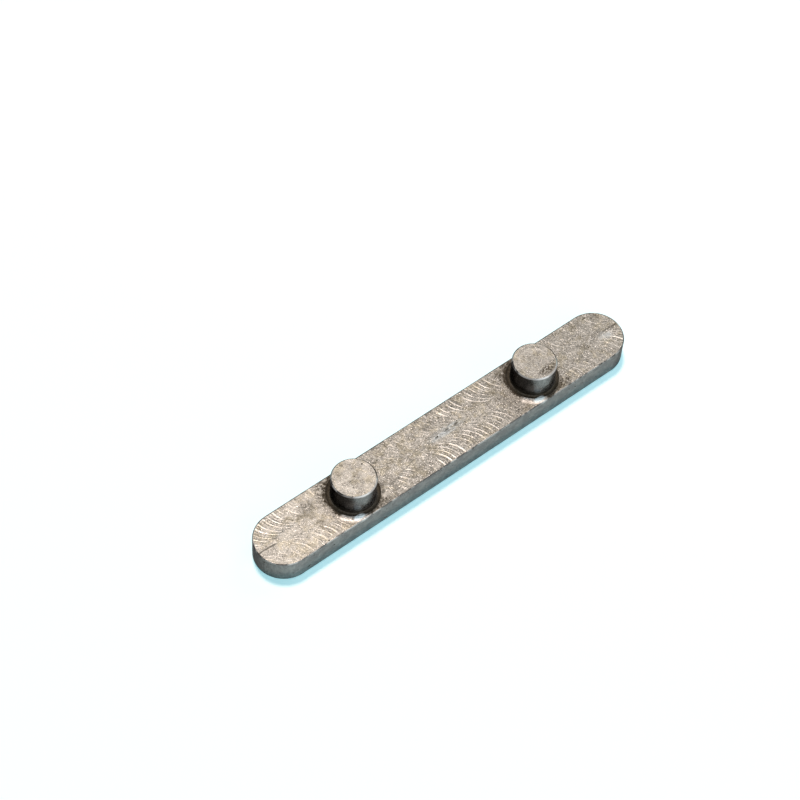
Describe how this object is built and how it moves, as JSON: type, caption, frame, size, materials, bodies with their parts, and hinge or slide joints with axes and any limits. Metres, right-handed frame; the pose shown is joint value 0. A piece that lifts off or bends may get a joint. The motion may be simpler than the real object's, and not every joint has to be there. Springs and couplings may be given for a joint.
{
  "type": "parallel key with pegs",
  "caption": "Round-ended flat steel key with two round pegs on one face, which locate it in a hollow shaft so that its flats drive a hub.",
  "frame": {"origin": "centre of the plain back face, which the key rests on", "axes": "+X along the key's length, +Y across its width, +Z out of the shoulder face, the way the pegs point"},
  "size_m": [0.06, 0.008, 0.007],
  "materials": {
    "bare_steel": "milled and tumbled bare steel, satin, with fine arc tool marks"
  },
  "bodies": {
    "root": {"two_peg_key": "bare_steel"}
  },
  "joints": []
}
